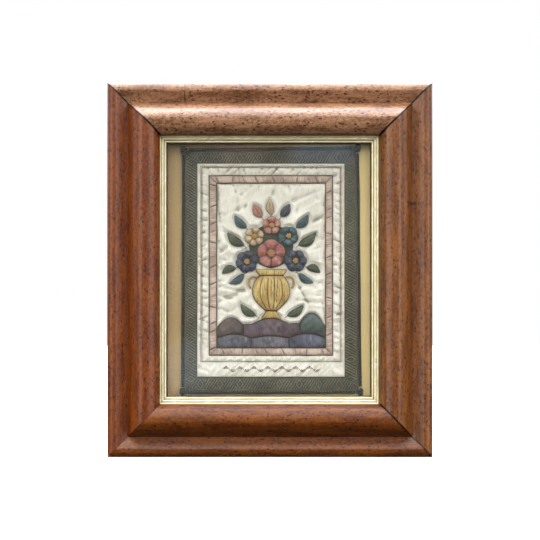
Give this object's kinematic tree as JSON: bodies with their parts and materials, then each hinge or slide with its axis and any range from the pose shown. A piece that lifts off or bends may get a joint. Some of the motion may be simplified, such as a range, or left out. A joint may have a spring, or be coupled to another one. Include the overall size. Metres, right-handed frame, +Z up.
{
  "type": "padded silk embroidery panel in a glazed maple frame",
  "caption": "Padded silk embroidery of a flower urn on quilted satin with a ribbon border, glazed in a cushion-moulded maple frame with a gilt slip.",
  "frame": {"origin": "middle of the frame's back, on the wall plane", "axes": "+Z up the picture, +Y into the wall, so the picture faces -Y; +X to the viewer's right"},
  "size_m": [0.39, 0.038, 0.449],
  "materials": {
    "maple": "stained bird's-eye maple veneer, polished",
    "gilt": "gold leaf on gesso, rubbed",
    "glass": "clear picture glass",
    "gold_paper": "grained gold paper on card",
    "pine": "plain pine board with gummed paper",
    "satin_ivory": "quilted ivory silk satin",
    "satin_pink": "dusty pink silk satin",
    "ribbon_green": "dark olive woven ribbon",
    "edging_black": "twisted black silk cord",
    "silk_gold": "padded gold silk with brown stripes",
    "silk_rose": "padded rose silk",
    "silk_coral": "padded coral silk",
    "silk_cream": "padded cream silk",
    "silk_navy": "padded navy silk",
    "silk_teal": "padded teal silk",
    "silk_leaf": "padded dark green silk",
    "silk_slate": "padded slate silk",
    "silk_moss": "padded grey-green silk",
    "silk_mauve": "padded mauve silk",
    "silk_brown": "padded brown silk"
  },
  "bodies": {
    "root": {"rail_top": "maple", "rail_bottom": "maple", "rail_left": "maple", "rail_right": "maple", "slip_top": "gilt", "slip_bottom": "gilt", "slip_left": "gilt", "slip_right": "gilt", "glass": "glass", "gold_mount": "gold_paper", "backboard": "pine", "satin_panel": "satin_ivory", "ribbon_top": "ribbon_green", "ribbon_bottom": "ribbon_green", "ribbon_left": "ribbon_green", "ribbon_right": "ribbon_green", "pink_band_top": "satin_pink", "pink_band_bottom": "satin_pink", "pink_band_left": "satin_pink", "pink_band_right": "satin_pink", "edging_top": "edging_black", "edging_bottom": "edging_black", "edging_left": "edging_black", "edging_right": "edging_black", "knot_top_left": "edging_black", "knot_top_right": "edging_black", "knot_bottom_left": "edging_black", "knot_bottom_right": "edging_black", "hill_front_left": "silk_slate", "hill_front_middle": "silk_moss", "hill_front_right": "silk_slate", "hill_back_left": "silk_brown", "hill_back_middle": "silk_mauve", "hill_back_right": "silk_slate", "urn_foot": "silk_gold", "urn_bowl": "silk_gold", "urn_lip": "silk_gold", "urn_handle_left": "silk_gold", "urn_handle_right": "silk_gold", "leaf_left_high": "silk_leaf", "leaf_left_low": "silk_leaf", "leaf_left_droop": "silk_teal", "leaf_left_top": "silk_teal", "leaf_right_high": "silk_leaf", "leaf_right_low": "silk_leaf", "leaf_right_droop": "silk_teal", "leaf_right_top": "silk_teal", "bud_left": "silk_coral", "bud_right": "silk_navy", "bud_top": "silk_cream", "fern_left": "silk_leaf", "fern_right": "silk_leaf", "flower_patch": "silk_leaf", "rose": "silk_rose", "aster_left": "silk_navy", "aster_right": "silk_navy", "daisy_left": "silk_cream", "daisy_right": "silk_teal", "peony_top": "silk_coral"}
  },
  "joints": []
}
